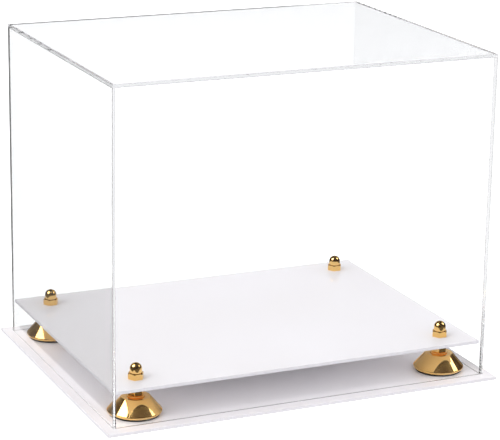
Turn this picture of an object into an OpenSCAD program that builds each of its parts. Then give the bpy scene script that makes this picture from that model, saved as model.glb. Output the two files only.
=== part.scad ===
// Display case for one football helmet, in millimetres.
// A clear five-panel cover stands on a white base plate.  Inside it, a white platform
// is carried by four turned metal risers, each held by a bolt, a washer, a hexagonal
// spacer and a cap nut.  The cover lifts off, and the platform lifts out on its risers.
// The origin is the middle of the base plate's underside; the long side lies along X,
// the front faces -Y, and +Z is up.

/* [Cover] */
// Outside length of the clear cover, left to right
cover_l = 368.3; // [250:0.1:600]
// Outside width of the clear cover, front to back
cover_w = 279.4; // [200:0.1:500]
// Height of the clear cover
cover_h = 304.8; // [120:0.1:500]
// Thickness of the clear sheet
wall_t = 3; // [2:0.1:8]

/* [Base plate] */
// How far the base plate shows past the cover at each end
lip_x = 8.75; // [4:0.25:40]
// How far the base plate shows past the cover at the front and the back
lip_y = 11; // [4:0.25:40]
// Thickness of the base plate
base_t = 3; // [2:0.1:12]

/* [Platform] */
// Gap all round between the platform and the cover's walls
platform_gap = 0.75; // [0.5:0.25:10]
// Thickness of the platform
platform_t = 3; // [2:0.1:8]

/* [Risers] */
// Diameter of a riser at its rim
rim_d = 47; // [36:0.5:60]
// Height of the rim's band, below the cone
rim_h = 2.6; // [2.2:0.1:6]
// Radius that rounds the rim's lower edge
rim_r = 2; // [0.5:0.1:2.1]
// Diameter of the flat top of the cone
top_d = 25.6; // [22:0.2:32]
// Bevel round the edge of the flat top
top_bevel = 0.5; // [0.2:0.1:1]
// Height of a riser, from the top of its pad to its flat top
riser_h = 15; // [10:0.5:40]
// How far a riser's rim stays inside the platform's ends
rim_margin_x = 4.6; // [1:0.1:60]
// How far a riser's rim stays inside the platform's front and back edges
rim_margin_y = 2.1; // [1:0.1:60]

/* [Pads] */
// Thickness of the pad under a riser
pad_t = 1.8; // [1:0.1:4]
// How far a pad's edge is set in from the rim
pad_inset = 2; // [0.5:0.25:5]

/* [Bolts and washers] */
// Diameter of the bolts
bolt_d = 8; // [5:0.5:10]
// Width of a bolt head's shoulder, past the shank
head_shoulder = 2.5; // [1.5:0.25:3]
// Height of a bolt head
head_h = 5; // [3:0.25:6]
// Depth of the head below the underside of a riser
head_recess = 0.5; // [0.2:0.1:2]
// Clearance round a bolt head in its pocket
head_clear = 0.5; // [0.2:0.1:2]
// Width across the flats of the hexagonal key socket in a bolt head
key_af = 5; // [3:0.5:6]
// Depth of the key socket
key_depth = 2.5; // [1:0.25:2.75]
// Radial clearance round a bolt in a riser, washer, spacer or platform hole
hole_clear = 0.3; // [0.15:0.05:0.8]
// Width of a washer's ring, past the bolt's hole
washer_ring = 3.9; // [2.5:0.1:5]
// Thickness of a washer
washer_t = 1; // [0.8:0.1:3]

/* [Spacers and cap nuts] */
// Wall of a spacer or nut between the bolt and the flats
nut_wall = 2.5; // [2:0.1:4]
// Height of a hexagonal spacer
spacer_h = 12.2; // [6:0.2:40]
// Height of a cap nut's hexagon
hex_h = 5.4; // [4:0.1:8]
// Wall of a cap nut's dome round the bolt
dome_wall = 1.4; // [1.2:0.1:2]
// Height of the straight band between the hexagon and the dome's round top
dome_band = 3.7; // [1:0.1:6]
// Clearance between a bolt's thread and the plain bore that stands for a nut's thread
thread_clear = 0.1; // [0.05:0.05:0.2]
// How far a bolt reaches into its cap nut
thread_reach = 9; // [4:0.5:10]
// Space in a cap nut past the end of the bolt
end_gap = 0.8; // [0.3:0.1:1.2]

/* [Hidden] */

$fn = 96;
EPS = 0.01;                       // overshoot that keeps cuts clean

// corners of the platform, as signs along X and Y
FRONT_LEFT = [-1, -1];
FRONT_RIGHT = [1, -1];
BACK_LEFT = [-1, 1];
BACK_RIGHT = [1, 1];
CORNERS = [FRONT_LEFT, FRONT_RIGHT, BACK_LEFT, BACK_RIGHT];

// plan sizes
base_l = cover_l + 2 * lip_x;
base_w = cover_w + 2 * lip_y;
inner_l = cover_l - 2 * wall_t;
inner_w = cover_w - 2 * wall_t;
wall_h = cover_h - wall_t;
platform_l = inner_l - 2 * platform_gap;
platform_w = inner_w - 2 * platform_gap;
riser_x = platform_l / 2 - rim_margin_x - rim_d / 2;
riser_y = platform_w / 2 - rim_margin_y - rim_d / 2;

// levels, from the base plate's underside up
pad_z = base_t;
riser_z = pad_z + pad_t;
washer_z = riser_z + riser_h;
spacer_z = washer_z + washer_t;
platform_z = spacer_z + spacer_h;
cap_z = platform_z + platform_t;

// fastener sizes
hole_d = bolt_d + 2 * hole_clear;
thread_d = bolt_d + 2 * thread_clear;
head_d = bolt_d + 2 * head_shoulder;
pocket_d = head_d + 2 * head_clear;
pocket_h = head_h + head_recess;
washer_d = hole_d + 2 * washer_ring;
nut_af = bolt_d + 2 * nut_wall;
dome_d = thread_d + 2 * dome_wall;
cap_bore_h = thread_reach + end_gap;
head_z = riser_z + head_recess;
shank_h = cap_z + thread_reach - head_z - head_h;

// width across the corners of a hexagon, from its width across the flats
function across_corners(af) = af / cos(30);

// height lost at a corner when a hexagon's end is bevelled at 30 degrees
function corner_bevel(af) = (across_corners(af) - af) / 2 * tan(30);

// puts its children at one corner's riser, at height z
module at_corner(corner, z) {
    translate([corner[0] * riser_x, corner[1] * riser_y, z])
        children();
}

// a flat sheet, centred on X and Y, with its underside at height z
module sheet(size, z) {
    translate([-size[0] / 2, -size[1] / 2, z])
        cube(size);
}

// hexagonal bar standing on its end, two flats facing front and back
module hexagon(af, h) {
    cylinder(d = across_corners(af), h = h, $fn = 6);
}

// cone-ended blank that takes the corners off the top of a hexagon
module bevelled_blank(af, h) {
    corner_r = across_corners(af) / 2;
    rotate_extrude()
        polygon([
            [0, 0], [corner_r + EPS, 0], [corner_r + EPS, h - corner_bevel(af)],
            [af / 2, h], [0, h]
        ]);
}

// outline of a riser, from its axis out: rounded rim, then a straight cone
module riser_outline() {
    edge = rim_d / 2;
    square([edge - rim_r, rim_r]);
    translate([edge - rim_r, rim_r])
        intersection() {
            circle(r = rim_r);
            translate([0, -rim_r])
                square(rim_r);
        }
    polygon([
        [0, rim_r], [edge, rim_r], [edge, rim_h],
        [top_d / 2, riser_h - top_bevel], [top_d / 2 - top_bevel, riser_h],
        [0, riser_h]
    ]);
}

// white sheet that everything stands on
module base_plate() {
    color("white")
        sheet([base_l, base_w, base_t], 0);
}

// soft disc that keeps a riser from sliding and scratching
module riser_pad(corner) {
    color("black")
        at_corner(corner, pad_z)
            cylinder(d = rim_d - 2 * pad_inset, h = pad_t);
}

// turned foot with a pocket below for the bolt's head
module riser(corner) {
    color("gold")
        at_corner(corner, riser_z)
            difference() {
                rotate_extrude()
                    riser_outline();
                translate([0, 0, -EPS])
                    cylinder(d = pocket_d, h = pocket_h + EPS);
                cylinder(d = hole_d, h = riser_h + EPS);
            }
}

// bolt that clamps a riser, washer, spacer and the platform to the cap nut
module bolt(corner) {
    color("silver")
        at_corner(corner, head_z)
            difference() {
                union() {
                    cylinder(d = head_d, h = head_h);
                    cylinder(d = bolt_d, h = head_h + shank_h);
                }
                translate([0, 0, -EPS])
                    hexagon(key_af, key_depth + EPS);
            }
}

// flat ring between a riser and its spacer
module washer(corner) {
    color("gold")
        at_corner(corner, washer_z)
            difference() {
                cylinder(d = washer_d, h = washer_t);
                translate([0, 0, -EPS])
                    cylinder(d = hole_d, h = washer_t + 2 * EPS);
            }
}

// tall hexagonal sleeve that sets the platform's height
module spacer(corner) {
    color("gold")
        at_corner(corner, spacer_z)
            difference() {
                hexagon(nut_af, spacer_h);
                translate([0, 0, -EPS])
                    cylinder(d = hole_d, h = spacer_h + 2 * EPS);
            }
}

// white sheet that the helmet stands on, drilled for the four bolts
module platform() {
    color("white")
        difference() {
            sheet([platform_l, platform_w, platform_t], platform_z);
            for (corner = CORNERS)
                at_corner(corner, platform_z - EPS)
                    cylinder(d = hole_d, h = platform_t + 2 * EPS);
        }
}

// domed nut that covers the end of a bolt
module cap_nut(corner) {
    color("gold")
        at_corner(corner, cap_z)
            difference() {
                union() {
                    intersection() {
                        hexagon(nut_af, hex_h);
                        bevelled_blank(nut_af, hex_h);
                    }
                    cylinder(d = dome_d, h = hex_h + dome_band);
                    translate([0, 0, hex_h + dome_band])
                        sphere(d = dome_d);
                }
                translate([0, 0, -EPS])
                    cylinder(d = thread_d, h = cap_bore_h + EPS);
            }
}

// long wall across the whole length; side is -1 at the front and 1 at the back
module long_wall(side) {
    translate([0, side * (cover_w - wall_t) / 2, 0])
        sheet([cover_l, wall_t, wall_h], base_t);
}

// end wall between the long walls; side is -1 at the left and 1 at the right
module end_wall(side) {
    translate([side * (cover_l - wall_t) / 2, 0, 0])
        sheet([wall_t, inner_w, wall_h], base_t);
}

module front_panel() {
    color("azure", 0.3)
        long_wall(-1);
}

module back_panel() {
    color("azure", 0.3)
        long_wall(1);
}

module left_panel() {
    color("azure", 0.3)
        end_wall(-1);
}

module right_panel() {
    color("azure", 0.3)
        end_wall(1);
}

// top of the cover, lying on all four walls
module top_panel() {
    color("azure", 0.3)
        sheet([cover_l, cover_w, wall_t], base_t + wall_h);
}

base_plate();
riser_pad(FRONT_LEFT);  // riser_pad_front_left
riser_pad(FRONT_RIGHT);  // riser_pad_front_right
riser_pad(BACK_LEFT);  // riser_pad_back_left
riser_pad(BACK_RIGHT);  // riser_pad_back_right
riser(FRONT_LEFT);  // riser_front_left
riser(FRONT_RIGHT);  // riser_front_right
riser(BACK_LEFT);  // riser_back_left
riser(BACK_RIGHT);  // riser_back_right
bolt(FRONT_LEFT);  // bolt_front_left
bolt(FRONT_RIGHT);  // bolt_front_right
bolt(BACK_LEFT);  // bolt_back_left
bolt(BACK_RIGHT);  // bolt_back_right
washer(FRONT_LEFT);  // washer_front_left
washer(FRONT_RIGHT);  // washer_front_right
washer(BACK_LEFT);  // washer_back_left
washer(BACK_RIGHT);  // washer_back_right
spacer(FRONT_LEFT);  // spacer_front_left
spacer(FRONT_RIGHT);  // spacer_front_right
spacer(BACK_LEFT);  // spacer_back_left
spacer(BACK_RIGHT);  // spacer_back_right
platform();
cap_nut(FRONT_LEFT);  // cap_nut_front_left
cap_nut(FRONT_RIGHT);  // cap_nut_front_right
cap_nut(BACK_LEFT);  // cap_nut_back_left
cap_nut(BACK_RIGHT);  // cap_nut_back_right
front_panel();
back_panel();
left_panel();
right_panel();
top_panel();
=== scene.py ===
# %% [markdown]
# # A display case for a football helmet
#
# The real case is a flat-pack product: five sheets of clear acrylic glued into a cover,
# two sheets of white acrylic, and four plated brass risers that are clamped to the upper
# white sheet with bolts and cap nuts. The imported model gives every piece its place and
# its size. This lesson makes each of them again as a finished Blender piece, with the
# small bevels, bores and turned edges that catch the light.
#
# The first step loads the imported model.

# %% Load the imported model
import math

import bmesh
import bpy
from mathutils import Matrix, Vector


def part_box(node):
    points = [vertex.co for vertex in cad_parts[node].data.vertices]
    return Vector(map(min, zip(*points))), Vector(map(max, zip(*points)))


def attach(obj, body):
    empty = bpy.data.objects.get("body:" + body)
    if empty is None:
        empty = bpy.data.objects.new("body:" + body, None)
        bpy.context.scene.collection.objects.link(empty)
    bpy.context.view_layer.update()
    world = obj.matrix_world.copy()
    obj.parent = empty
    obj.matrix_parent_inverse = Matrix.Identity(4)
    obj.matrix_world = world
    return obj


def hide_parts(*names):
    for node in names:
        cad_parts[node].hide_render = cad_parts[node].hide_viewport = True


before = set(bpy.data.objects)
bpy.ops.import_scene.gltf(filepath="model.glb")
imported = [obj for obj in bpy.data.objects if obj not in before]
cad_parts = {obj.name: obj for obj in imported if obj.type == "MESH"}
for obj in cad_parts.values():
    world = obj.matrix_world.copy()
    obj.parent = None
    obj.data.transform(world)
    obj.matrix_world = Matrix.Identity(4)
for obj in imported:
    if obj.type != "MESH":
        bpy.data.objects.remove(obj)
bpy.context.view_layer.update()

CORNERS = ("front_left", "front_right", "back_left", "back_right")

# %% [markdown]
# Modelling by script is the same work as modelling by hand: add a primitive, go into edit
# mode, select some of it, and use a tool on the selection. An operator acts on everything
# that is selected, and loading the model left all its nodes selected, so each step starts
# by selecting nothing. In edit mode the faces and edges are picked by asking a question of
# each one, such as "does it point up?", where a hand would click on it.

# %% Helpers for selecting
def select_only(piece=None):
    """Leaves edit mode and selects nothing, or only one piece."""
    if bpy.context.object and bpy.context.object.mode != "OBJECT":
        bpy.ops.object.mode_set(mode="OBJECT")
    bpy.ops.object.select_all(action="DESELECT")
    if piece:
        piece.select_set(True)
        bpy.context.view_layer.objects.active = piece


def pick(piece, kind, wanted):
    """In edit mode, selects only the vertices, edges or faces for which wanted() is true."""
    bpy.ops.mesh.select_mode(type={"verts": "VERT", "edges": "EDGE", "faces": "FACE"}[kind])
    bpy.ops.mesh.select_all(action="DESELECT")
    mesh = bmesh.from_edit_mesh(piece.data)
    for part in getattr(mesh, kind):
        part.select_set(wanted(part))
    mesh.select_flush_mode()
    bmesh.update_edit_mesh(piece.data)


def edge_ring(height, radius, centre):
    """A question for pick(): is this edge part of the level ring of this height and radius?"""
    def wanted(edge):
        return all(
            abs(v.co.z - height) < TOUCH
            and abs((v.co.xy - centre.xy).length - radius) < TOUCH
            for v in edge.verts
        )
    return wanted


def looks_up(face):
    """A question for pick(): does this face point up?"""
    return face.normal.z > ALIGNED


def everywhere(edge):
    """A question for pick() that is true of every edge."""
    return True


TOUCH = 0.00004           # metres: two places closer than this are taken as one
ALIGNED = 0.9             # a normal with this much of a direction in it points that way
print("selecting helpers are ready")

# %% [markdown]
# A new primitive keeps its place and size on the object. The finished pieces keep them in
# the mesh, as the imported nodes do, so every piece is settled with Apply Transform. After
# that its Object coordinates are the coordinates of the whole case, and a pattern made
# for one piece runs at the same scale on every other. Faces that meet at a blunt angle are
# then shaded smooth, and the crisp ones stay crisp.

# %% Helpers for primitives and finishing
SMOOTH_BELOW = math.radians(32)
ROUND = 96                # sides of a turned piece
SMALL_ROUND = 64          # sides of a pad, a washer or a dome
BORE_ROUND = 48           # sides of a drilled hole or a bolt


def settle(piece, name=None):
    """Moves the object's place, turn and size into its mesh, and shades it."""
    select_only(piece)
    bpy.ops.object.transform_apply(location=True, rotation=True, scale=True)
    bpy.ops.object.shade_smooth_by_angle(angle=SMOOTH_BELOW)
    if name:
        piece.name = name
        piece.data.name = name
    return piece


def new_block(low, high):
    """A block between two corners, with its size settled."""
    select_only()
    bpy.ops.mesh.primitive_cube_add(size=1, location=(low + high) / 2)
    bpy.ops.transform.resize(value=high - low)
    return settle(bpy.context.object)


def new_disc(centre, radius, bottom, top, sides=ROUND, turn=0.0):
    """An upright cylinder, or with few sides a prism, between two heights."""
    select_only()
    bpy.ops.mesh.primitive_cylinder_add(
        vertices=sides, radius=radius, depth=top - bottom,
        location=(centre.x, centre.y, (bottom + top) / 2), rotation=(0, 0, turn))
    return settle(bpy.context.object)


def bevel_edges(piece, wanted, width, steps=2):
    """Rounds the edges for which wanted() is true."""
    select_only(piece)
    bpy.ops.object.mode_set(mode="EDIT")
    pick(piece, "edges", wanted)
    bpy.ops.mesh.bevel(offset=width, segments=steps, profile=0.5, affect="EDGES")
    bpy.ops.object.mode_set(mode="OBJECT")


def combine(piece, other, how):
    """Cuts, joins or intersects a piece with another, which is used up."""
    select_only(piece)
    step = piece.modifiers.new("combine", "BOOLEAN")
    step.operation = how
    step.solver = "EXACT"
    step.object = other
    bpy.ops.object.modifier_apply(modifier=step.name)
    bpy.data.objects.remove(other)


def drill(piece, centre, diameter, bottom, top):
    """Drills a round hole between two heights."""
    combine(piece, new_disc(centre, diameter / 2, bottom, top, sides=BORE_ROUND), "DIFFERENCE")


def twin(piece, name, move):
    """A copy with its own mesh, moved to its place."""
    select_only(piece)
    bpy.ops.object.duplicate()
    bpy.ops.transform.translate(value=move)
    return settle(bpy.context.object, name)


def middle(node):
    """The middle of a node's box."""
    low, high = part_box(node)
    return (low + high) / 2


print("modelling helpers are ready")

# %% [markdown]
# ## Finishes
#
# Each finish is a small node tree. Working out a pattern from Object coordinates keeps it
# at its real scale in metres, and nothing has to be unwrapped. A helper adds a node and
# sets its inputs by name, so that each finish below reads like a recipe. Colours, patterns
# and the depths of reliefs stand above it, as the list of ingredients.

# %% Helpers for finishes
def new_finish(name):
    """A material with its Principled shader, and the shader node."""
    finish = bpy.data.materials.new(name)
    finish.use_nodes = True
    return finish, finish.node_tree.nodes["Principled BSDF"]


def set_shader(shader, colour=None, **values):
    """Sets a shader's base colour and its plain values by name."""
    if colour:
        shader.inputs["Base Color"].default_value = (*colour, 1)
    for key, value in values.items():
        shader.inputs[key.replace("_", " ")].default_value = value


def add(finish, kind, settings=None, **inputs):
    """Adds a node, sets its settings and its inputs, and links the inputs that are sockets."""
    node = finish.node_tree.nodes.new("ShaderNode" + kind)
    for key, value in (settings or {}).items():
        setattr(node, key, value)
    for key, value in inputs.items():
        feed(finish, value, node.inputs[key.replace("_", " ")])
    return node


def feed(finish, value, socket):
    """Links an output to a socket, or sets the socket to a plain value."""
    if isinstance(value, bpy.types.NodeSocket):
        finish.node_tree.links.new(value, socket)
    else:
        socket.default_value = value


def own_place(finish, stretch=(1, 1, 1)):
    """Object coordinates, stretched along the axes."""
    place = add(finish, "TexCoord")
    return add(finish, "Mapping", Vector=place.outputs["Object"], Scale=stretch).outputs[0]


def blend_colours(finish, amount, first, second, low=0.3, high=0.7):
    """A colour that goes from first to second as amount goes from low to high."""
    ramp = add(finish, "ValToRGB", Fac=amount)
    ends = ramp.color_ramp.elements
    ends[0].position = low
    ends[1].position = high
    ends[0].color = (*first, 1)
    ends[1].color = (*second, 1)
    return ramp.outputs["Color"]


def between(finish, amount, ends):
    """A number that goes from the first end to the second as amount goes from 0 to 1."""
    return add(finish, "MapRange", Value=amount, To_Min=ends[0], To_Max=ends[1]).outputs["Result"]


def noise(finish, pattern, place=None):
    """Noise from 0 to 1. A pattern is its number of blotches a metre and its detail."""
    scale, detail = pattern
    if place is None:
        place = own_place(finish)
    return add(finish, "TexNoise", Vector=place, Scale=scale, Detail=detail).outputs["Fac"]


def bumped(finish, height, depth):
    """A surface normal for a relief that is depth metres deep."""
    return add(finish, "Bump", Height=height, Distance=depth).outputs["Normal"]


print("finish helpers are ready")

# %% [markdown]
# **White acrylic.** The base plate and the platform are cast white sheet: a bright body
# with a wet gloss. A real sheet isn't one flat white. It has a faint cloudiness from
# casting, a gloss that is duller where hands and cloths have touched it, and very fine
# wiping scratches. Its cut edges keep the marks of the saw, so they get a finish of their
# own: upright lines a fraction of a millimetre apart, and much less gloss.

# %% White acrylic
PLEXI_IOR = 1.49
WHITE_WARM = (0.87, 0.85, 0.865)
WHITE_COOL = (0.90, 0.885, 0.91)
SAWN_DARK = (0.50, 0.49, 0.51)
SAWN_LIGHT = (0.60, 0.59, 0.62)
CLOUDS = (7.0, 3.0)       # blotches a metre, and detail
WIPES = (90.0, 5.0)
WIPED_ALONG = (1, 14, 1)  # the wiping scratches are long in X and fine in Y
SHEET_RIPPLE = (45.0, 1.0)
SAW_LINES = (1900.0, 2.0)
UPRIGHT = (1, 1, 0.02)    # the saw lines are long in Z
WIPE_DEPTH = 0.000004     # metres
RIPPLE_DEPTH = 0.00003
RIPPLE_STRENGTH = 0.5
SAW_DEPTH = 0.00004
WIPED_ROUGH = (0.03, 0.13)      # least and most roughness
SAWN_ROUGH = (0.25, 0.5)


def white_sheet_finish():
    """Glossy white acrylic for the wide faces."""
    finish, shader = new_finish("white_acrylic_sheet")
    clouds = noise(finish, CLOUDS)
    wipes = noise(finish, WIPES, own_place(finish, WIPED_ALONG))
    scratched = bumped(finish, wipes, WIPE_DEPTH)
    rippled = add(finish, "Bump", Height=noise(finish, SHEET_RIPPLE), Distance=RIPPLE_DEPTH,
                  Normal=scratched, Strength=RIPPLE_STRENGTH)
    feed(finish, blend_colours(finish, clouds, WHITE_WARM, WHITE_COOL), shader.inputs["Base Color"])
    feed(finish, between(finish, wipes, WIPED_ROUGH), shader.inputs["Roughness"])
    feed(finish, rippled.outputs["Normal"], shader.inputs["Normal"])
    set_shader(shader, IOR=PLEXI_IOR)
    return finish


def white_edge_finish():
    """Sawn edge of white acrylic, with upright saw marks."""
    finish, shader = new_finish("white_acrylic_sawn_edge")
    saw = noise(finish, SAW_LINES, own_place(finish, UPRIGHT))
    feed(finish, blend_colours(finish, saw, SAWN_DARK, SAWN_LIGHT), shader.inputs["Base Color"])
    feed(finish, between(finish, saw, SAWN_ROUGH), shader.inputs["Roughness"])
    feed(finish, bumped(finish, saw, SAW_DEPTH), shader.inputs["Normal"])
    set_shader(shader, IOR=PLEXI_IOR)
    return finish


white_face = white_sheet_finish()
white_edge = white_edge_finish()
print("finishes:", white_face.name, "and", white_edge.name)

# %% [markdown]
# **Clear acrylic.** A Principled shader with full transmission bends and mirrors light as
# acrylic does, at its refractive index of 1.49. The wide faces have only the slight swell
# of a cast sheet. The edges matter more, because they are all that shows of a clean cover:
# light that enters an edge has run through a long stretch of plastic, so it comes out a
# little darker and bluer, and the ripple of the flame that polished it is in it. The
# cover's lower edges are neither glued nor polished, so they stay frosted by the saw.

# %% Clear acrylic
CLEAR = (0.985, 0.992, 0.995)
CLEAR_LONG_WAY = (0.90, 0.91, 0.92)
CLEAR_FROSTED = (0.95, 0.955, 0.96)
SWELL = (30.0, 1.0)       # blotches a metre, and detail
FLAME_RIPPLE = (160.0, 2.0)
SAW_FROST = (900.0, 3.0)
SWELL_DEPTH = 0.00001     # metres
FLAME_DEPTH = 0.00006
FROST_DEPTH = 0.00005
FROST_ROUGH = (0.3, 0.6)  # least and most roughness


def clear_finish(name, colour, pattern, depth, frosted=False):
    """Clear acrylic with a relief: polished, or frosted by the saw."""
    finish, shader = new_finish(name)
    relief = noise(finish, pattern)
    feed(finish, bumped(finish, relief, depth), shader.inputs["Normal"])
    set_shader(shader, colour, Roughness=0.0, IOR=PLEXI_IOR, Transmission_Weight=1.0)
    if frosted:
        feed(finish, between(finish, relief, FROST_ROUGH), shader.inputs["Roughness"])
    return finish


clear_face = clear_finish("clear_acrylic_sheet", CLEAR, SWELL, SWELL_DEPTH)
clear_edge = clear_finish("clear_acrylic_cut_edge", CLEAR_LONG_WAY, FLAME_RIPPLE, FLAME_DEPTH)
clear_sawn = clear_finish("clear_acrylic_sawn_edge", CLEAR_FROSTED, SAW_FROST, FROST_DEPTH, True)
print("finishes:", clear_face.name, clear_edge.name, clear_sawn.name)

# %% [markdown]
# ** Glue.** Solvent glue melts two sheets into one, so light runs straight on through a good
# joint. The glued faces therefore wear a finish that is nearly all see-through. At the
# foot of the front joints the saw's slanting ridges show as a rope of dark and bright dashes
# that thins out upwards. Their dark near the foot is painted shade. It stands in for the
# shaded space under the platform seen through the ridges, and it turns pale higher up. Math
# nodes measure how deep in the joint a point lies and how near the foot, and turn that into
# how much of the ridges and the hairline shows.

# %% Glue
SHADED_FOOT_HEIGHT = 0.075        # metres: how far up a joint the ridges and their painted shade reach
RIDGE_WEDGE_WIDTHS = (0.0012, 0.0024)   # its width at the foot of the left and the right joint
RIDGE_WEDGE_TAPER = 1.6           # how fast the wedge thins out upwards
HAIR_WIDTHS = (0.0005, 0.00015) # width of the hairline all the way up them
HAIR_SHOWS = 0.75         # how much of the hairline shows
RIDGE_SCALE = 209.0       # saw ridges 3 mm apart
RIDGE_WOBBLE = 0.8        # how far the ridges stray from straight
GLUE_HAZE = 0.01          # how much of a good joint shows
JOINT_PALE = (0.40, 0.40, 0.41)   # colour of the hairline and the ridges higher up, above the painted shade
PAINTED_SHADE_DARK = (0.01, 0.01, 0.01)   # painted shade: colour of the ridges at the foot, for the shaded space under the platform
PAINTED_SHADE_FADE = (0.1, 0.7)     # how near the foot the painted shade begins and ends
JOINT_ROUGH = 0.3           # roughness of the acrylic that shows in the joint
OFF_CENTRE = 0.1          # metres: past this a point is on the left or the right side


def reckon(finish, operation, first, second):
    """A Math node on two values."""
    node = add(finish, "Math", {"operation": operation})
    feed(finish, first, node.inputs[0])
    feed(finish, second, node.inputs[1])
    return node.outputs["Value"]


def by_side(finish, across, widths):
    """The first width on the left of the case and the second on the right."""
    step = add(finish, "MapRange", Value=across, From_Min=-OFF_CENTRE, From_Max=OFF_CENTRE,
               To_Min=widths[0], To_Max=widths[1])
    return step.outputs["Result"]


def ridges_and_hairline(finish, spot, foot):
    """1 on the saw ridges at the foot of a front joint, less on its hairline, and 0 where the glue
    is good.
    """
    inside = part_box("right_panel")[0].x
    depth = reckon(finish, "SUBTRACT", reckon(finish, "ABSOLUTE", spot["X"], 0.0), inside)
    reach = reckon(finish, "MULTIPLY", by_side(finish, spot["X"], RIDGE_WEDGE_WIDTHS),
                   reckon(finish, "POWER", foot, RIDGE_WEDGE_TAPER))
    ridges = add(finish, "TexWave", {"bands_direction": "DIAGONAL"},
                 Vector=own_place(finish), Scale=RIDGE_SCALE, Distortion=RIDGE_WOBBLE)
    wedge = reckon(finish, "MULTIPLY", reckon(finish, "LESS_THAN", depth, reach),
                   reckon(finish, "GREATER_THAN", ridges.outputs["Fac"], 0.5))
    hair = reckon(finish, "LESS_THAN", depth, by_side(finish, spot["X"], HAIR_WIDTHS))
    ridges_and_hair = reckon(finish, "MAXIMUM", wedge, reckon(finish, "MULTIPLY", hair, HAIR_SHOWS))
    return reckon(finish, "MULTIPLY", ridges_and_hair, reckon(finish, "LESS_THAN", spot["Y"], 0.0))


def glue_finish():
    """Glued joint: see-through, except for a wedge of saw ridges in painted shade at the foot, and
    a hairline.
    """
    finish, shader = new_finish("acrylic_glue_joint")
    spot = add(finish, "SeparateXYZ", Vector=own_place(finish)).outputs
    foot = add(finish, "MapRange", Value=spot["Z"], From_Max=SHADED_FOOT_HEIGHT, To_Min=1.0, To_Max=0.0)
    foot = foot.outputs["Result"]
    feed(finish, reckon(finish, "MAXIMUM", ridges_and_hairline(finish, spot, foot), GLUE_HAZE),
         shader.inputs["Alpha"])
    # painted shade: the ridges and the hairline darken towards the foot, for the shaded space under
    # the platform
    feed(finish, blend_colours(finish, foot, JOINT_PALE, PAINTED_SHADE_DARK, *PAINTED_SHADE_FADE),
         shader.inputs["Base Color"])
    set_shader(shader, Roughness=JOINT_ROUGH, Specular_IOR_Level=0.0)
    return finish


clear_glue = glue_finish()
print("finish:", clear_glue.name)

# %% [markdown]
# **Polished gold.** The risers, washers, spacers and cap nuts are turned brass with a
# bright gold plating. It is nearly a mirror, so most of its look is what it reflects, but
# two things give it away as turned metal: hair-fine rings left by the lathe, and a haze of
# polishing marks. The rings have to run round each piece's own axis. Each turned piece
# therefore carries an attribute with its distance from that axis and its height, and one
# finish then fits all of them.

# %% Polished gold
TURNED = "turned"         # the attribute's name
GOLD_DEEP = (0.95, 0.59, 0.19)
GOLD_PALE = (0.97, 0.64, 0.24)
LATHE = (2600.0, 2.0)     # blotches a metre, and detail
POLISH_HAZE = (120.0, 4.0)
PLATING_TONE = (35.0, 2.0)
LATHE_DEPTH = 0.0000035   # metres
GOLD_ROUGH = (0.02, 0.11)       # least and most roughness


def mark_turned(piece, centre):
    """Stores each point's distance from an upright axis, and its height, on the mesh."""
    marks = piece.data.attributes.new(TURNED, "FLOAT_VECTOR", "POINT")
    for vertex, mark in zip(piece.data.vertices, marks.data):
        mark.vector = ((vertex.co.xy - centre.xy).length, 0, vertex.co.z)


def gold_finish():
    """Bright gold plating over turned and polished brass."""
    finish, shader = new_finish("polished_gold")
    turned = add(finish, "Attribute", {"attribute_name": TURNED}).outputs["Vector"]
    tone = noise(finish, PLATING_TONE)
    feed(finish, blend_colours(finish, tone, GOLD_DEEP, GOLD_PALE), shader.inputs["Base Color"])
    haze = noise(finish, POLISH_HAZE)
    feed(finish, between(finish, haze, GOLD_ROUGH), shader.inputs["Roughness"])
    feed(finish, bumped(finish, noise(finish, LATHE, turned), LATHE_DEPTH), shader.inputs["Normal"])
    set_shader(shader, Metallic=1.0)
    return finish


gold = gold_finish()
print("finish:", gold.name)

# %% [markdown]
# **Foam and steel.** Under each riser is a disc of black closed-cell foam, full of tiny
# pits and quite matt. The bolts inside the risers are zinc-plated steel: a grey metal with
# a mottled sheen. Nobody sees them on the assembled case, but the part comes apart.

# %% Foam and steel
FOAM_DARK = (0.003, 0.003, 0.003)
FOAM_DUSTY = (0.010, 0.010, 0.010)
PITS_A_METRE = 1700.0
DUST = (260.0, 4.0)       # blotches a metre, and detail
PIT_DEPTH = 0.0002        # metres
FOAM_ROUGH = (0.75, 0.95)       # least and most roughness
FOAM_SHINE = 0.15         # share of the usual gloss
ZINC_BLUE = (0.52, 0.54, 0.57)
ZINC_PALE = (0.72, 0.73, 0.71)
MOTTLE = (420.0, 5.0)
MOTTLE_DEPTH = 0.00002
ZINC_ROUGH = (0.22, 0.42)


def foam_finish():
    """Black closed-cell foam with fine pits."""
    finish, shader = new_finish("black_foam")
    pits = add(finish, "TexVoronoi", Vector=own_place(finish), Scale=PITS_A_METRE)
    dust = noise(finish, DUST)
    feed(finish, blend_colours(finish, dust, FOAM_DARK, FOAM_DUSTY), shader.inputs["Base Color"])
    feed(finish, between(finish, dust, FOAM_ROUGH), shader.inputs["Roughness"])
    feed(finish, bumped(finish, pits.outputs["Distance"], PIT_DEPTH), shader.inputs["Normal"])
    set_shader(shader, Specular_IOR_Level=FOAM_SHINE)
    return finish


def steel_finish():
    """Zinc-plated steel with a mottled sheen."""
    finish, shader = new_finish("zinc_plated_steel")
    mottle = noise(finish, MOTTLE)
    feed(finish, blend_colours(finish, mottle, ZINC_BLUE, ZINC_PALE), shader.inputs["Base Color"])
    feed(finish, between(finish, mottle, ZINC_ROUGH), shader.inputs["Roughness"])
    feed(finish, bumped(finish, mottle, MOTTLE_DEPTH), shader.inputs["Normal"])
    set_shader(shader, Metallic=1.0)
    return finish


foam = foam_finish()
steel = steel_finish()
print("finishes:", foam.name, "and", steel.name)

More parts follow.
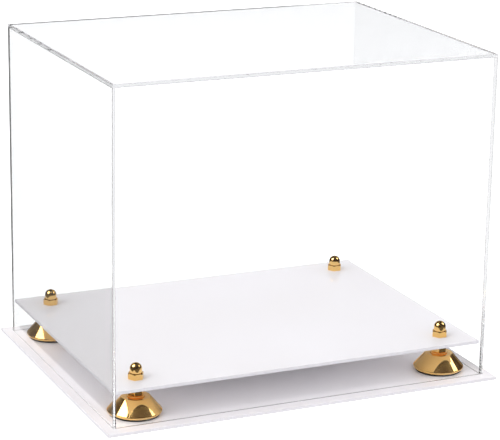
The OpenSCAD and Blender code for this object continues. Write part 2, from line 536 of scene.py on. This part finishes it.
# %% [markdown]
# ## White sheets
#
# A cut sheet has two kinds of surface, the wide faces and the sawn edges, so it carries
# two finishes. The block is added at the node's own size, and all its sharp edges get the
# small round that scraping gives them: without it the edges would catch no light and look
# like paper. After the bevel, a face belongs to the edge when it doesn't point along the
# sheet's thin direction.

# %% Cut sheets and the base plate
SCRAPED = 0.0004          # metres: rounding on the edges of the white sheets


def wear(piece, *finishes):
    """Gives a piece its finishes, the first one all over."""
    piece.data.materials.clear()
    for finish in finishes:
        piece.data.materials.append(finish)


def finish_edges(piece, thin):
    """Puts the second finish on every face that doesn't point along the thin direction."""
    for face in piece.data.polygons:
        face.material_index = int(abs(face.normal[thin]) < ALIGNED)


def cut_sheet(name, low, high, rounding, face_finish, edge_finish):
    """A flat sheet with eased edges."""
    sheet = new_block(low, high)
    size = high - low
    thin = min(range(3), key=lambda axis: size[axis])
    bevel_edges(sheet, everywhere, rounding, steps=3)
    wear(sheet, face_finish, edge_finish)
    finish_edges(sheet, thin)
    return settle(sheet, name)


def place(piece, body, slot, *nodes):
    """Ties a finished piece to its body and hides the nodes it stands for. The slot is not used."""
    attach(piece, body)
    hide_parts(*nodes)
    print(f"{piece.name}: {len(piece.data.polygons)} faces, rides on {body}")


base_plate = cut_sheet("white_base_plate", *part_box("base_plate"), SCRAPED, white_face, white_edge)
place(base_plate, "base", "white_acrylic", "base_plate")

# %% [markdown]
# **The platform** is the same kind of sheet with four bolt holes, each on the axis of a
# riser. Drilling before the edges are eased would round the holes too, so the sheet is
# made first and drilled afterwards with a Boolean, which is what a drill is.

# %% Platform
BOLT_HOLE = 0.0086        # metres: diameter

platform = cut_sheet("white_platform", *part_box("platform"), SCRAPED, white_face, white_edge)
low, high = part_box("platform")
for corner in CORNERS:
    drill(platform, middle("riser_" + corner), BOLT_HOLE, low.z - SCRAPED, high.z + SCRAPED)
settle(platform)
place(platform, "tray", "white_acrylic", "platform")

# %% [markdown]
# ## Clear cover
#
# The cover's five sheets are glued edge to face. Where two clear sheets meet, both faces
# would lie in exactly the same place, and a renderer can't tell which comes first, so each
# glued end stands back by a hair. The walls also clear the base plate by a hair, since the
# cover only rests on it. A wide face that is glued only along its border is scored along
# the joint first, as with a knife: each bisect leaves a line of edges, and the strip past
# it can wear the glue. A face is glued when its middle lies on one of the other panels.

# %% Clear cover
GLUE_LINE = 0.00003       # metres: how far a glued end stands back from its joint
FLAMED = 0.0002           # metres: rounding on the edges of the clear sheets
FACE, EDGE, GLUE, SAWN = range(4)   # a panel's finishes, in their order
POINTS_DOWN = -0.5        # a normal with less height than this points down
PANELS = ("front_panel", "back_panel", "left_panel", "right_panel", "top_panel")

# how far each panel's ends stand back, along X, Y and Z
STAND_BACK = {
    "front_panel": Vector((0, 0, GLUE_LINE)),
    "back_panel": Vector((0, 0, GLUE_LINE)),
    "left_panel": Vector((0, GLUE_LINE, GLUE_LINE)),
    "right_panel": Vector((0, GLUE_LINE, GLUE_LINE)),
    "top_panel": Vector((0, 0, 0)),
}


def score(sheet, place, across):
    """Cuts a line round a sheet where a plane crosses it."""
    select_only(sheet)
    bpy.ops.object.mode_set(mode="EDIT")
    bpy.ops.mesh.select_all(action="SELECT")
    bpy.ops.mesh.bisect(plane_co=place, plane_no=across)
    bpy.ops.object.mode_set(mode="OBJECT")


def lies_on(point, node):
    """True if a point touches a node's box."""
    low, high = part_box(node)
    return all(low[i] - TOUCH < point[i] < high[i] + TOUCH for i in range(3))


def glue_joints(panel, own_node):
    """Scores a panel along its joints and puts the glue on the faces that meet other panels."""
    for node, across in (("left_panel", (1, 0, 0)), ("right_panel", (1, 0, 0)),
                         ("front_panel", (0, 1, 0)), ("back_panel", (0, 1, 0))):
        low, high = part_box(node)
        inner = high if low.dot(Vector(across)) < 0 else low
        if node != own_node:
            score(panel, inner, across)
    others = [node for node in PANELS if node != own_node]
    for face in panel.data.polygons:
        if own_node != "top_panel":
            face.material_index = SAWN if face.normal.z < POINTS_DOWN else FACE
        if any(lies_on(face.center, node) for node in others):
            face.material_index = GLUE
    return sum(face.material_index == GLUE for face in panel.data.polygons)


for node in PANELS:
    low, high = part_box(node)
    back = STAND_BACK[node]
    panel = cut_sheet("clear_" + node, low + back, high - back, FLAMED, clear_face, clear_edge)
    panel.data.materials.append(clear_glue)
    panel.data.materials.append(clear_sawn)
    print(node, "has", glue_joints(panel, node), "glued faces")
    panel.visible_shadow = False
    panel.visible_diffuse = False
    place(panel, "cover", "clear_acrylic", node)

# %% [markdown]
# ## Risers
#
# A riser is turned on a lathe: a low rim with a rounded foot, then a straight cone up to a
# small flat top. It could be spun from an outline, but building it from a disc shows each
# cut: the top face of the rim is extruded up and shrunk to make the cone, and the three
# ring edges are rounded by three different amounts. The foot is then drilled for the bolt.

# %% Risers
RIM_BAND = 0.0026         # metres: height of the straight rim
RIM_ROUND = 0.002         # rounding of the rim's foot
SHOULDER = 0.0003         # easing where the rim turns into the cone
CONE_TOP = 0.0256         # diameter of the flat top
TOP_EASE = 0.0005         # rounding of the flat top's edge
BOLT_POCKET = (0.014, 0.0055)   # diameter and depth of the pocket for the bolt's head


def turned_riser(name, node):
    """A cone-shaped foot with a rounded rim, drilled for its bolt."""
    low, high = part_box(node)
    centre = (low + high) / 2
    rim = (high.x - low.x) / 2
    riser = new_disc(centre, rim, low.z, low.z + RIM_BAND)
    bpy.ops.object.mode_set(mode="EDIT")
    pick(riser, "faces", looks_up)
    bpy.ops.mesh.extrude_region_move(
        TRANSFORM_OT_translate={"value": (0, 0, high.z - low.z - RIM_BAND)})
    shrink = CONE_TOP / 2 / rim
    bpy.ops.transform.resize(value=(shrink, shrink, 1), center_override=centre)
    bpy.ops.object.mode_set(mode="OBJECT")
    bevel_edges(riser, edge_ring(low.z, rim, centre), RIM_ROUND, steps=8)
    bevel_edges(riser, edge_ring(low.z + RIM_BAND, rim, centre), SHOULDER, steps=3)
    bevel_edges(riser, edge_ring(high.z, CONE_TOP / 2, centre), TOP_EASE, steps=4)
    pocket_width, pocket_depth = BOLT_POCKET
    drill(riser, centre, pocket_width, low.z - TOP_EASE, low.z + pocket_depth)
    drill(riser, centre, BOLT_HOLE, low.z, high.z + TOP_EASE)
    wear(riser, gold)
    settle(riser, name)
    mark_turned(riser, centre)
    return riser


def fit_corners(first, stem, node_stem, slot):
    """Copies the front left piece to the other corners and places all four."""
    home = middle(node_stem + CORNERS[0])
    for corner in CORNERS:
        node = node_stem + corner
        piece = first if corner == CORNERS[0] else twin(first, stem + corner, middle(node) - home)
        place(piece, "tray", slot, node)


fit_corners(turned_riser("gold_riser_front_left", "riser_front_left"),
            "gold_riser_", "riser_", "polished_gold")

# %% [markdown]
# **Pads.** A disc of foam is punched out of sheet, which leaves its edge slightly rolled.

# %% Pads
PUNCHED = 0.00035         # metres: rounding of the punched edge


def foam_pad(name, node):
    """A punched foam disc."""
    low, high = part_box(node)
    centre = (low + high) / 2
    radius = (high.x - low.x) / 2
    pad = new_disc(centre, radius, low.z, high.z, sides=SMALL_ROUND)
    bevel_edges(pad, edge_ring(low.z, radius, centre), PUNCHED, steps=3)
    bevel_edges(pad, edge_ring(high.z, radius, centre), PUNCHED, steps=3)
    wear(pad, foam)
    return settle(pad, name)


fit_corners(foam_pad("foam_pad_front_left", "riser_pad_front_left"),
            "foam_pad_", "riser_pad_", "black_pad")

# %% [markdown]
# **Washers and spacers.** Between a riser and the platform sit a flat washer and a tall
# hexagonal sleeve. Both are blanks that are eased at their ends and drilled through. The
# sleeve is a six-sided prism, turned so that two of its flats face the front and the back.

# %% Washers and spacers
STAMPED = 0.00046         # metres: rounding of a washer's edge
SLEEVE_EASE = 0.0004      # rounding of the sleeve's edges
HEX_TURN = math.radians(30)     # turns a flat to the front


def gold_washer(name, node):
    """A flat ring with a stamped edge."""
    low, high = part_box(node)
    centre = (low + high) / 2
    radius = (high.x - low.x) / 2
    washer = new_disc(centre, radius, low.z, high.z, sides=SMALL_ROUND)
    for height in (low.z, high.z):
        bevel_edges(washer, edge_ring(height, radius, centre), STAMPED, steps=3)
    drill(washer, centre, BOLT_HOLE, low.z - STAMPED, high.z + STAMPED)
    wear(washer, gold)
    settle(washer, name)
    mark_turned(washer, centre)
    return washer


def gold_spacer(name, node):
    """A drilled hexagonal sleeve."""
    low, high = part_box(node)
    centre = (low + high) / 2
    corner = (high.x - low.x) / 2
    sleeve = new_disc(centre, corner, low.z, high.z, sides=6, turn=HEX_TURN)
    bevel_edges(sleeve, everywhere, SLEEVE_EASE, steps=2)
    drill(sleeve, centre, BOLT_HOLE, low.z - SLEEVE_EASE, high.z + SLEEVE_EASE)
    wear(sleeve, gold)
    settle(sleeve, name)
    mark_turned(sleeve, centre)
    return sleeve


fit_corners(gold_washer("gold_washer_front_left", "washer_front_left"),
            "gold_washer_", "washer_", "polished_gold")
fit_corners(gold_spacer("gold_spacer_front_left", "spacer_front_left"),
            "gold_spacer_", "spacer_", "polished_gold")

# %% [markdown]
# **Cap nuts.** A cap nut starts as hexagonal bar. The lathe takes the corners off its
# upper end in a shallow cone, which leaves a curved line on each flat. The same cut is made
# here by intersecting the hexagon with a cone-ended blank. The dome is half a ball: a
# sphere is bisected at its middle, the open edge is extruded down into a short neck and
# closed, and dome and hexagon are joined.

# %% Cap nuts
HEX_HEIGHT = 0.0054       # metres: height of the nut's hexagon
CONE_ANGLE = math.radians(30)   # slope of the cone that takes the corners off
DOME_WIDTH = 0.011        # diameter of the dome
THREAD_BORE = (0.0082, 0.0098)  # diameter and depth of the threaded bore


def gold_cap_nut(name, node):
    """A domed nut."""
    low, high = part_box(node)
    centre = (low + high) / 2
    corner = (high.x - low.x) / 2
    flat = (high.y - low.y) / 2
    top = low.z + HEX_HEIGHT
    drop = (corner - flat) * math.tan(CONE_ANGLE)
    nut = new_disc(centre, corner, low.z, top, sides=6, turn=HEX_TURN)
    combine(nut, cone_ended_blank(centre, corner, flat, low.z, top, drop), "INTERSECT")
    combine(nut, dome(centre, high.z - DOME_WIDTH / 2, low.z + HEX_HEIGHT / 2), "UNION")
    bore, depth = THREAD_BORE
    drill(nut, centre, bore, low.z - drop, low.z + depth)
    wear(nut, gold)
    settle(nut, name)
    mark_turned(nut, centre)
    return nut


def cone_ended_blank(centre, radius, top_radius, bottom, top, drop):
    """Round bar whose upper end narrows over the last stretch."""
    blank = new_disc(centre, radius + TOUCH, bottom - drop, top - drop)
    bpy.ops.object.mode_set(mode="EDIT")
    pick(blank, "faces", looks_up)
    bpy.ops.mesh.extrude_region_move(TRANSFORM_OT_translate={"value": (0, 0, drop)})
    shrink = top_radius / radius
    bpy.ops.transform.resize(value=(shrink, shrink, 1), center_override=centre)
    bpy.ops.object.mode_set(mode="OBJECT")
    return blank


def dome(centre, equator, bottom):
    """Half a ball on a neck, closed below."""
    select_only()
    bpy.ops.mesh.primitive_uv_sphere_add(
        segments=SMALL_ROUND, ring_count=SMALL_ROUND // 2, radius=DOME_WIDTH / 2,
        location=(centre.x, centre.y, equator))
    ball = settle(bpy.context.object)
    bpy.ops.object.mode_set(mode="EDIT")
    bpy.ops.mesh.select_all(action="SELECT")
    bpy.ops.mesh.bisect(plane_co=(0, 0, equator), plane_no=(0, 0, 1), clear_inner=True)
    pick(ball, "edges", lambda edge: edge.is_boundary)
    bpy.ops.mesh.extrude_edges_move(TRANSFORM_OT_translate={"value": (0, 0, bottom - equator)})
    bpy.ops.mesh.edge_face_add()
    bpy.ops.mesh.select_all(action="SELECT")
    bpy.ops.mesh.normals_make_consistent(inside=False)
    bpy.ops.object.mode_set(mode="OBJECT")
    return ball


fit_corners(gold_cap_nut("gold_cap_nut_front_left", "cap_nut_front_left"),
            "gold_cap_nut_", "cap_nut_", "polished_gold")

# %% [markdown]
# **Bolts.** The bolt's head hides in the riser's pocket and its thread ends in the cap
# nut. A real thread is a helix, but rings of the same pitch look the same and are simpler:
# the end face is extruded up and shrunk to the root, then extruded up and widened to the
# crest, once for every turn. The hexagonal key socket is cut with a six-sided prism.

# %% Bolts
SHANK = 0.008             # metres: bolt diameter
HEAD_HEIGHT = 0.005
HEAD_EASE = 0.0005        # rounding of the head's edge
THREAD_PITCH = 0.00125
THREAD_DEPTH = 0.00065
THREAD_TURNS = 16
KEY_SOCKET = (0.005, 0.0025)    # width across the flats and depth


def climb(rise, scale, centre):
    """Extrudes the selected end face up and scales it about the bolt's axis."""
    bpy.ops.mesh.extrude_region_move(TRANSFORM_OT_translate={"value": (0, 0, rise)})
    bpy.ops.transform.resize(value=(scale, scale, 1), center_override=centre)


def steel_bolt(name, node):
    """A socket-head bolt with ring threads."""
    low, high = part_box(node)
    centre = (low + high) / 2
    head = (high.x - low.x) / 2
    bolt = new_disc(centre, head, low.z, low.z + HEAD_HEIGHT, sides=BORE_ROUND)
    bpy.ops.object.mode_set(mode="EDIT")
    pick(bolt, "faces", looks_up)
    thread_length = THREAD_TURNS * THREAD_PITCH
    climb(0, SHANK / 2 / head, centre)
    climb(high.z - low.z - HEAD_HEIGHT - thread_length, 1, centre)
    root = 1 - THREAD_DEPTH / (SHANK / 2)
    for _ in range(THREAD_TURNS):
        climb(THREAD_PITCH / 2, root, centre)
        climb(THREAD_PITCH / 2, 1 / root, centre)
    bpy.ops.object.mode_set(mode="OBJECT")
    bevel_edges(bolt, edge_ring(low.z, head, centre), HEAD_EASE, steps=3)
    across, depth = KEY_SOCKET
    socket = new_disc(centre, across / 2 / math.cos(HEX_TURN), low.z - HEAD_EASE, low.z + depth,
                      sides=6, turn=HEX_TURN)
    combine(bolt, socket, "DIFFERENCE")
    wear(bolt, steel)
    return settle(bolt, name)


fit_corners(steel_bolt("steel_bolt_front_left", "bolt_front_left"),
            "steel_bolt_", "bolt_", "plated_steel")

# %% [markdown]
# ## Floor and studio
#
# The case stands on a white sweep in a dark studio. The sweep shines by itself, which
# keeps it evenly white right up to the case, as an overlit studio floor does. Polished
# metal and clear sheet need the opposite: they look like plaster in an all-white room, so
# in their reflections the studio has to be dark, with a few bright shapes. A Light Path
# node tells the cases apart. Its Glossy Depth counts mirrorings. A ray with none has come
# straight from the camera, or through clear sheet. One or two are a reflection. More than
# two are a ray that ran along inside a sheet and left it at the far end, towards the sweep.

# %% Helpers for light that depends on the ray
FIRST_COLOUR, SECOND_COLOUR, MIXED_COLOUR = 6, 7, 2     # sockets of a Mix node for colours
ALONG = (1.0, 1.0, 1.01)  # what shows at the far end of a run along the inside of a sheet
ONE_MIRRORING = 0.5       # a glossy depth above this is a reflection,
MANY_MIRRORINGS = 2.5     # and one above this is a run along the inside of a sheet


def mix_colours(finish, factor, first, second):
    """Goes from the first colour to the second as factor goes from 0 to 1."""
    mix = add(finish, "Mix", {"data_type": "RGBA"})
    feed(finish, factor, mix.inputs["Factor"])
    for colour, socket in ((first, FIRST_COLOUR), (second, SECOND_COLOUR)):
        plain = not isinstance(colour, bpy.types.NodeSocket)
        feed(finish, (*colour, 1) if plain else colour, mix.inputs[socket])
    return mix.outputs[MIXED_COLOUR]


def by_ray(finish, straight, mirrored, scattered):
    """One colour straight on, one in reflections, and one as light on matt surfaces."""
    ray = add(finish, "LightPath")
    turns = ray.outputs["Glossy Depth"]
    is_mirrored = reckon(finish, "GREATER_THAN", turns, ONE_MIRRORING)
    ran_along = reckon(finish, "GREATER_THAN", turns, MANY_MIRRORINGS)
    seen = mix_colours(finish, is_mirrored, straight, mirrored)
    seen = mix_colours(finish, ran_along, seen, ALONG)
    return mix_colours(finish, ray.outputs["Is Diffuse Ray"], seen, scattered)


print("ray helpers are ready")

# %% [markdown]
# The floor is a wide plane a hair below the base plate. It gives light and takes none, so
# its base colour is black and all that shows of it is its own shine, by the rule above:
# white straight on, nearly black in the gold, and an even fill on the matt surfaces. It
# belongs to the picture and not to the case.

# %% Floor
FLOOR_SIZE = 30.0         # metres
FLOOR_DROP = 0.0002       # hair's breadth between the floor and the base plate
FLOOR_STRAIGHT = (1.7, 1.7, 1.71)
FLOOR_MIRRORED = (0.085, 0.08, 0.075)
FLOOR_SCATTERED = (1.3, 1.3, 1.31)

select_only()
bpy.ops.mesh.primitive_plane_add(size=FLOOR_SIZE, location=(0, 0, -FLOOR_DROP))
floor = settle(bpy.context.object, "studio_floor")
paper, paper_shader = new_finish("white_paper")
set_shader(paper_shader, (0, 0, 0), Specular_IOR_Level=0, Emission_Strength=1)
feed(paper, by_ray(paper, FLOOR_STRAIGHT, FLOOR_MIRRORED, FLOOR_SCATTERED),
     paper_shader.inputs["Emission Color"])
paper.cycles.emission_sampling = "NONE"
wear(floor, paper)
print("floor is", FLOOR_SIZE, "m wide")

# %% [markdown]
# The surroundings follow the same rule, and the finish helpers work on the world as they
# do on a finish, because both have a node tree. Straight on the surroundings are white. In
# reflections they are a pale sweep behind the case and a dark room on the camera's side
# and overhead. As light they are a glow that is strongest near the horizon, because that
# is the light that gets in under the platform.

# %% Surroundings
EYE = Vector((-0.7778, -1.7186, 0.6833))    # metres: where the camera stands
AWAY = Vector((-EYE.x, -EYE.y, 0)).normalized()
WHITE = (1, 1, 1)
ROOM = (0.030, 0.022, 0.018)
SWEEP = (0.66, 0.66, 0.68)
THROUGH_LOW = (1.0, 1.0, 1.0)
THROUGH_HIGH = (0.62, 0.63, 0.65)
GLOW_LOW = (2.15, 2.12, 2.15)
GLOW_HIGH = (0.02, 0.02, 0.02)

# where each change starts and ends, as the sine of the height above the horizon
THROUGH_RISE = (0.12, 0.22)
GLOW_RISE = (0.5, 0.75)
SWEEP_RISE = (0.50, 0.34)       # from the sweep's upper border down to full white
SWEEP_SIDES = (0.78, 0.90)      # from its side borders in, as the cosine of the way round


def smooth_step(finish, value, band):
    """0 before the band and 1 past it, with a soft change between."""
    step = add(finish, "MapRange", {"interpolation_type": "SMOOTHSTEP"},
               Value=value, From_Min=band[0], From_Max=band[1])
    return step.outputs["Result"]


def sweep_part(world, direction, height):
    """1 in the directions of the pale sweep behind the case, and 0 elsewhere."""
    behind = add(world, "VectorMath", {"operation": "DOT_PRODUCT"})
    feed(world, direction, behind.inputs[0])
    feed(world, AWAY, behind.inputs[1])
    return reckon(world, "MULTIPLY", smooth_step(world, height, SWEEP_RISE),
                  smooth_step(world, behind.outputs["Value"], SWEEP_SIDES))


studio = bpy.data.worlds.new("studio")
studio.use_nodes = True
studio.cycles.sampling_method = "NONE"
bpy.context.scene.world = studio

direction = add(studio, "TexCoord").outputs["Generated"]
height = add(studio, "SeparateXYZ", Vector=direction).outputs["Z"]
mirrored = mix_colours(studio, sweep_part(studio, direction, height), ROOM, SWEEP)
straight = mix_colours(studio, smooth_step(studio, height, THROUGH_RISE), THROUGH_LOW, THROUGH_HIGH)
scattered = mix_colours(studio, smooth_step(studio, height, GLOW_RISE), GLOW_LOW, GLOW_HIGH)
camera_ray = add(studio, "LightPath").outputs["Is Camera Ray"]
feed(studio, mix_colours(studio, camera_ray, by_ray(studio, straight, mirrored, scattered), WHITE),
     studio.node_tree.nodes["Background"].inputs["Color"])
print("surroundings are set")

# %% [markdown]
# A big soft box on the left and a smaller one on the right are there only to be mirrored:
# they show up as bright shapes in the gold, and matt surfaces don't see them. A soft light
# from above the left side does the reverse. It gives the cap nuts their faint shadows, and
# it is kept out of reflections, or it would wash the dark room out of them.

# %% Lamps
def soft_box(name, direction, elevation, distance, size, power):
    """A rectangular lamp aimed at the case from a compass direction and an elevation."""
    level = Vector((*direction, 0)).normalized() * math.cos(math.radians(elevation))
    towards = Vector((level.x, level.y, math.sin(math.radians(elevation))))
    lamp = bpy.data.lights.new(name, "AREA")
    lamp.shape = "RECTANGLE"
    lamp.size, lamp.size_y = size
    lamp.energy = power
    box = bpy.data.objects.new(name, lamp)
    box.rotation_euler = towards.to_track_quat("Z", "Y").to_euler()
    box.location = towards * distance
    box.visible_diffuse = False
    bpy.context.scene.collection.objects.link(box)
    return box


def top_light(name, strength, spread, tip):
    """A soft light from far above, tipped about X and Y, that matt surfaces see."""
    lamp = bpy.data.lights.new(name, "SUN")
    lamp.energy = strength
    lamp.angle = math.radians(spread)
    above = bpy.data.objects.new(name, lamp)
    above.rotation_euler = (math.radians(tip[0]), math.radians(tip[1]), 0)
    above.visible_glossy = False
    above.visible_transmission = False
    bpy.context.scene.collection.objects.link(above)
    return above


soft_box("left_soft_box", direction=(-0.97, 0.1), elevation=48, distance=1.7,
         size=(1.0, 1.1), power=20)
soft_box("right_soft_box", direction=(0.94, -0.33), elevation=42, distance=1.8,
         size=(0.45, 0.9), power=6)
top_light("overhead", strength=1.55, spread=50, tip=(10, -38))

# %% [markdown]
# ## Camera
#
# The camera stands about two metres off with a long lens, a little to the left of the
# case and above it, which keeps the upright edges nearly parallel. Its turn, tilt and lean
# are set as a photographer would: round, then down, then a touch to one side.

# %% Camera
TURN = 24.521             # degrees to the right of straight ahead
TILT = 16.221             # degrees down
LEAN = 0.971              # degrees anticlockwise
LENS = 150.3              # millimetres
SENSOR = 36               # millimetres wide

lens = bpy.data.cameras.new("camera")
lens.sensor_width = SENSOR
lens.lens = LENS
camera = bpy.data.objects.new("camera", lens)
bpy.context.scene.collection.objects.link(camera)
turned = Matrix.Rotation(-math.radians(TURN), 4, "Z")
tilted = Matrix.Rotation(math.radians(90 - TILT), 4, "X")
leaned = Matrix.Rotation(math.radians(LEAN), 4, "Z")
camera.matrix_world = Matrix.Translation(EYE) @ turned @ tilted @ leaned
bpy.context.scene.camera = camera
bpy.context.scene.view_settings.view_transform = "Standard"
print("camera at", tuple(round(c, 3) for c in EYE))

# %% [markdown]
# Clear sheets pass light on many times inside their edges before it comes out, and each
# pass is a bounce. The renderer's usual limit would cut those paths short and turn the
# edges black, so it gets a longer one.

# %% Light bounces
LONGEST_PATH = 64

cycles = bpy.context.scene.cycles
cycles.max_bounces = LONGEST_PATH
cycles.glossy_bounces = LONGEST_PATH
cycles.transmission_bounces = LONGEST_PATH
cycles.transparent_max_bounces = LONGEST_PATH
